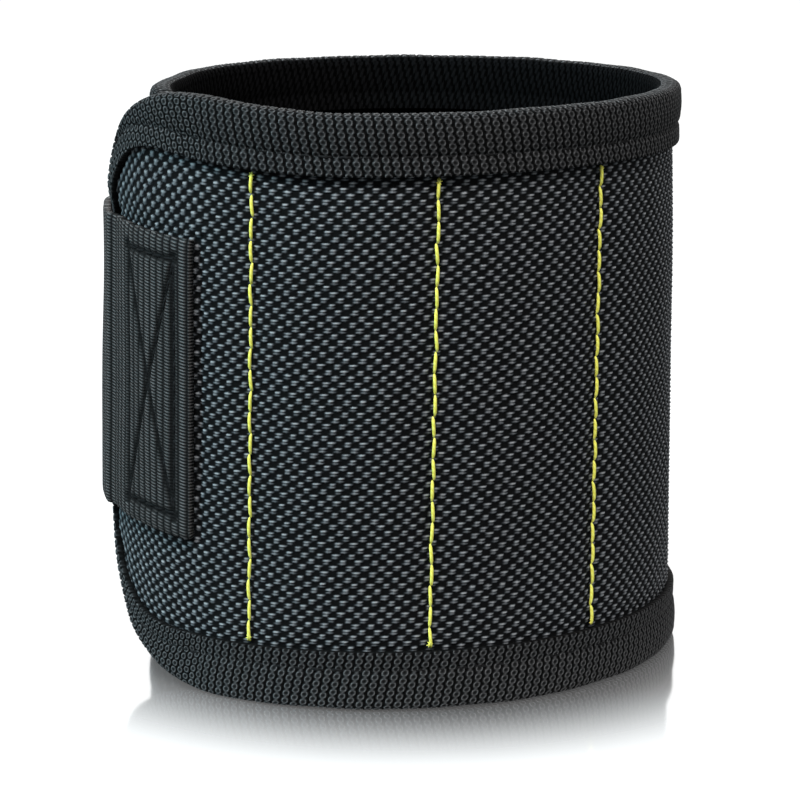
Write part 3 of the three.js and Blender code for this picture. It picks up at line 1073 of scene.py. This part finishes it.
hook_plastic = plain_finish(
    "hook_plastic",
    (0.011, 0.011, 0.0115),
    roughness=0.4,
    specular=0.4,
    grain=900.0,
    depth=0.03 * MM,
)
loop_yarn = plain_finish(
    "loop_pile",
    (0.016, 0.017, 0.018),
    roughness=0.75,
    specular=0.2,
    grain=1500.0,
    depth=0.04 * MM,
)
foam = plain_finish(
    "foam_padding",
    (0.045, 0.045, 0.047),
    roughness=0.9,
    specular=0.1,
    grain=1200.0,
    depth=0.2 * MM,
)
nickel = plain_finish(
    "nickel_plate",
    (0.62, 0.62, 0.6),
    roughness=0.25,
    specular=0.5,
    grain=300.0,
    depth=0.01 * MM,
    metal=1.0,
)

# Hook tape on the strap's tip and loop panel on the tail: a woven base with moulded hooks or a brushed pile
base_warp = 1.1
base_weft = 0.9
base_relief_depth = 0.06
root_depth = 0.05
last_margin = 0.5
hook_first = strap_length(strap_end) + hook_inset
hook_last = strap_length(tip_fold) - hook_inset
hook_half = strap_half - hook_inset
hook_corner = strap_tip_corner - hook_inset
hook_ground = -0.7
hook_thickness = 0.45
hook_pitch = 1.6
hook_margin = 0.9
hook_clear = 0.8
hook_stray = 0.2
loop_start_margin = 6.0
loop_end_margin = 16.0
loop_first = length_at(coil_start) + loop_start_margin
loop_last = length_at(tail_end) - loop_end_margin
loop_half = 30.0
loop_ground = -0.5
loop_rounding = 0.12
loop_edge = 0.8
loop_thickness = 0.25
loop_pitch = 1.35
loop_margin = 0.8
loop_scatter = 0.4


def hook_half_at(length):
    reach = np.clip(hook_corner - (length - hook_first), 0, hook_corner)
    return hook_half - hook_corner + np.sqrt(hook_corner**2 - reach**2)


def base_relief(along, up):
    return 0.5 + 0.25 * np.cos(full_turn * along / base_warp) + 0.25 * np.cos(full_turn * up / base_weft)


def hook_shape(length, height):
    up = strap_middle + height * hook_half_at(-length) / hook_half
    relief = base_relief(length, up)
    out = hook_ground + base_relief_depth * relief
    points = on_cuff(flap_end - length / strap_run_radius, up, out, strap_radius)
    return points, np.column_stack((length, up)), relief


def loop_shape(length, height):
    up = band_middle + height
    relief = base_relief(length, up)
    rounded = loop_rounding * dent(loop_half - np.abs(height), loop_edge)
    out = loop_ground - base_relief_depth * (1 - relief) - rounded
    return on_cuff(angle_at(length), up, out), np.column_stack((length, up)), relief


def add_base(cloth, thickness, material, body, node):
    cloth.data.materials.append(material)
    depth = cloth.modifiers.new("thickness", "SOLIDIFY")
    depth.thickness = MM * thickness
    depth.offset = -1
    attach(cloth, body)
    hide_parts(node)


hook_columns = even_stations(-hook_last, -hook_first, base_warp / 3)
hook_rows = even_stations(-hook_half, hook_half, base_weft / 3)
hook_cloth = make_cloth("hook_tape_base", hook_columns, hook_rows, hook_shape)
add_base(hook_cloth, hook_thickness, hook_plastic, "strap_tip", "hook_tape")

loop_columns = even_stations(loop_first, loop_last, base_warp / 3)
loop_rows = even_stations(-loop_half, loop_half, base_weft / 3)
loop_cloth = make_cloth("loop_panel_base", loop_columns, loop_rows, loop_shape)
add_base(loop_cloth, loop_thickness, loop_yarn, "band_tail", "loop_panel")


# A thin strand swept round an arc, standing on the base along Z. A half turn is a loop, and more of a turn
# on a stem is a hook.
def strand_mesh(name, thickness, sides, stem, radius, turn, steps):
    bm = bmesh.new()
    bmesh.ops.create_circle(bm, cap_ends=True, segments=sides, radius=MM * thickness / 2)
    end = bm.faces[:]
    if stem:
        grown = bmesh.ops.extrude_face_region(bm, geom=end)["geom"]
        lifted = [part for part in grown if isinstance(part, bmesh.types.BMVert)]
        bmesh.ops.translate(bm, verts=lifted, vec=(0, 0, MM * stem))
        end = [part for part in grown if isinstance(part, bmesh.types.BMFace)]
    rim = list({vert for face in end for vert in face.verts})
    edges = list({edge for face in end for edge in face.edges})
    centre = (MM * radius, 0, MM * stem)
    swept = rim + edges + end
    bmesh.ops.spin(bm, geom=swept, cent=centre, axis=(0, 1, 0), angle=turn, steps=steps)
    bmesh.ops.recalc_face_normals(bm, faces=bm.faces)
    mesh = bpy.data.meshes.new(name)
    bm.to_mesh(mesh)
    bm.free()
    mesh.shade_smooth()
    return mesh


scatter = np.random.default_rng(7)
hook_turn = math.radians(200)
hook_strand = strand_mesh("hook", thickness=0.24, sides=5, stem=0.3, radius=0.22, turn=hook_turn, steps=4)
hook_heights = np.arange(-hook_half + hook_margin, hook_half - last_margin, hook_pitch)
hook_places = []
for along in np.arange(hook_first + hook_margin, hook_last - last_margin, hook_pitch):
    for row, height in enumerate(hook_heights):
        if abs(height) > hook_half_at(along) - hook_clear:
            continue
        angle = flap_end + along / strap_run_radius
        lean = math.pi * (row % 2) + scatter.uniform(-hook_stray, hook_stray)
        up, root = strap_middle + height, hook_ground + root_depth
        hook_places.append(stitch_place(angle, up, root, lean, strap_radius, facing=-1))
hooks = sew("hook_tape_hooks", hook_strand, hook_places, hook_plastic)
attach(hooks, "strap_tip")

loop_strand = strand_mesh("loop", thickness=0.16, sides=4, stem=0.0, radius=0.36, turn=math.pi, steps=5)
loop_heights = np.arange(-loop_half + loop_margin, loop_half - last_margin, loop_pitch)
loop_places = []
for along in np.arange(loop_first + loop_margin, loop_last - last_margin, loop_pitch):
    for height in loop_heights:
        spot = angle_at(along + scatter.uniform(-loop_scatter, loop_scatter))
        up = band_middle + height + scatter.uniform(-loop_scatter, loop_scatter)
        lean = scatter.uniform(0, full_turn)
        loop_places.append(stitch_place(spot, up, loop_ground - root_depth, lean))
loops = sew("loop_panel_pile", loop_strand, loop_places, loop_yarn)
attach(loops, "band_tail")

# Foam pads with softened edges round the magnets
for number, body in enumerate(["band_front"] * 3 + ["band_back"] * 2, start=1):
    bm = bmesh.new()
    bm.from_mesh(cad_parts[f"pocket_pad_{number}"].data)
    bmesh.ops.remove_doubles(bm, verts=bm.verts, dist=0.001 * MM)
    bmesh.ops.dissolve_limit(bm, angle_limit=math.radians(1), verts=bm.verts, edges=bm.edges)
    sharp = [edge for edge in bm.edges if edge.is_manifold and edge.calc_face_angle() > math.radians(50)]
    bmesh.ops.bevel(
        bm,
        geom=sharp,
        offset=0.3 * MM,
        offset_type="OFFSET",
        segments=2,
        profile=0.5,
        affect="EDGES",
        material=-1,
        clamp_overlap=True,
    )
    mesh = bpy.data.meshes.new(f"foam_pad_{number}")
    bm.to_mesh(mesh)
    bm.free()
    mesh.materials.clear()
    mesh.materials.append(foam)
    pad = add_piece(f"foam_pad_{number}", mesh)
    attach(pad, body)
    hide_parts(f"pocket_pad_{number}")

for name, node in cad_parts.items():
    if name.startswith("magnet_"):
        for slot in node.material_slots:
            slot.material = nickel

# Camera at the photograph's place
camera_distance = 505.0
camera_rise = math.radians(11.71)
camera_roll = math.radians(-0.47)
aim_height = 37.85
aim = Vector((*cuff_axis, aim_height)) * MM
eye = aim + Vector((0, -math.cos(camera_rise), math.sin(camera_rise))) * camera_distance * MM
camera_data = bpy.data.cameras.new("camera")
camera_data.lens = 141.75
camera_data.sensor_width = 36
camera_data.shift_x = 0.0188
camera_data.clip_start = 0.01
camera = bpy.data.objects.new("camera", camera_data)
camera.location = eye
camera.rotation_mode = "QUATERNION"
roll = Matrix.Rotation(camera_roll, 4, "Z")
look = (aim - eye).to_track_quat("-Z", "Y").to_matrix().to_4x4()
camera.rotation_quaternion = (look @ roll).to_quaternion()
scene.collection.objects.link(camera)
scene.camera = camera


# Soft studio light, turned to the middle of the band
light_aim = Vector((0, 0, 0.045))


def soft_light(name, place, size, power, colour=(1, 1, 1)):
    data = bpy.data.lights.new(name, "AREA")
    data.shape = "RECTANGLE"
    data.size, data.size_y = size
    data.energy = power
    data.color = colour
    lamp = bpy.data.objects.new(name, data)
    lamp.location = Vector(place)
    lamp.rotation_mode = "QUATERNION"
    lamp.rotation_quaternion = (light_aim - lamp.location).to_track_quat("-Z", "Y")
    scene.collection.objects.link(lamp)


soft_light("key_light", place=(-0.12, -0.5, 0.76), size=(0.6, 0.12), power=8.0)
soft_light("left_light", place=(-0.65, -0.2, 0.5), size=(0.2, 0.4), power=5.7, colour=(0.5, 0.87, 1.0))
soft_light("right_light", place=(0.65, -0.3, 0.45), size=(0.2, 0.4), power=1.3)
soft_light("rim_light", place=(0.0, 0.5, 0.6), size=(0.5, 0.2), power=2.0)

world = bpy.data.worlds.new("studio")
scene.world = world
world.use_nodes = True
sky = Nodes(world.node_tree)
background = sky.tree.nodes["Background"]
background.inputs["Color"].default_value = (1, 1, 1, 1)

# White for the camera, for mirrors that look behind the band and for those that look to the horizon, and
# dim elsewhere
dim_strength = 0.04
rays = sky.add("ShaderNodeLightPath").outputs
sky_place = sky.add("ShaderNodeTexCoord").outputs["Generated"]
axes = sky.add("ShaderNodeSeparateXYZ")
sky.link(sky_place, axes.inputs[0])
behind = sky.spread(axes.outputs["Y"], 0.0, 1.0, start=0.3, stop=0.8)
above = sky.spread(axes.outputs["Z"], 0.0, 1.0, start=0.02, stop=0.06)
below = sky.spread(axes.outputs["Z"], 0.0, 1.0, start=0.6, stop=0.32)
horizon = sky.combined("MULTIPLY", above, below)
white = sky.combined("MAXIMUM", behind, horizon)
mirrored = sky.combined("MULTIPLY", white, rays["Is Glossy Ray"])
shown = sky.combined("MAXIMUM", mirrored, rays["Is Camera Ray"])
sky.link(sky.spread(shown, dim_strength, 1.0), background.inputs["Strength"])

# Pale floor with a faint mirror image round the band that fades outwards, in metres from the band's middle
floor_radius = 2.0
floor_shift = (-0.0042, 0, 0)
floor_scale = (1.05, 1.0, 1.0)
mirror_strength = 0.92
mirror_run = (0.0435, 0.082)
band_run = (0.038, 0.042)
glow_near = 0.95
glow_run = (0.1, 0.6)
floor_bm = bmesh.new()
bmesh.ops.create_circle(floor_bm, cap_ends=True, segments=96, radius=floor_radius)
floor_mesh = bpy.data.meshes.new("floor")
floor_bm.to_mesh(floor_mesh)
floor_bm.free()
floor = add_piece("floor", floor_mesh)
floor_finish = Finish("pale_floor")
floor_place = floor_finish.add("ShaderNodeTexCoord").outputs["Object"]
floor_reach = floor_finish.add("ShaderNodeVectorMath", operation="LENGTH")
floor_centred = floor_finish.stretched(floor_place, floor_scale, shift=floor_shift)
floor_finish.link(floor_centred, floor_reach.inputs[0])
from_band = floor_reach.outputs["Value"]
mirror_fade = floor_finish.spread(from_band, mirror_strength, 0.0, *mirror_run, kind="SMOOTHSTEP")
outside = floor_finish.spread(from_band, 0.0, 1.0, *band_run)
mirror_share = floor_finish.combined("MULTIPLY", mirror_fade, outside)
glow_fade = floor_finish.spread(from_band, glow_near, 1.0, *glow_run, kind="SMOOTHSTEP")
camera_ray = floor_finish.add("ShaderNodeLightPath").outputs["Is Camera Ray"]
glow = floor_finish.combined("MULTIPLY", camera_ray, glow_fade)
floor_finish.link(glow, floor_finish.shader.inputs["Emission Strength"])
mirror = floor_finish.add("ShaderNodeBsdfGlossy", Roughness=0.1, Color=(1, 1, 1, 1))
floor_mix = floor_finish.add("ShaderNodeMixShader")
floor_finish.link(mirror_share, floor_mix.inputs["Fac"])
floor_finish.link(floor_finish.shader.outputs["BSDF"], floor_mix.inputs[1])
floor_finish.link(mirror.outputs["BSDF"], floor_mix.inputs[2])
floor_surface = floor_finish.tree.nodes["Material Output"].inputs["Surface"]
floor_finish.link(floor_mix.outputs["Shader"], floor_surface)
floor_finish.set(Base_Color=(0.2, 0.2, 0.2, 1), Roughness=0.8, Specular_IOR_Level=0.0)
floor_finish.set(Emission_Color=(1, 1, 1, 1))
floor.data.materials.append(floor_finish.material)
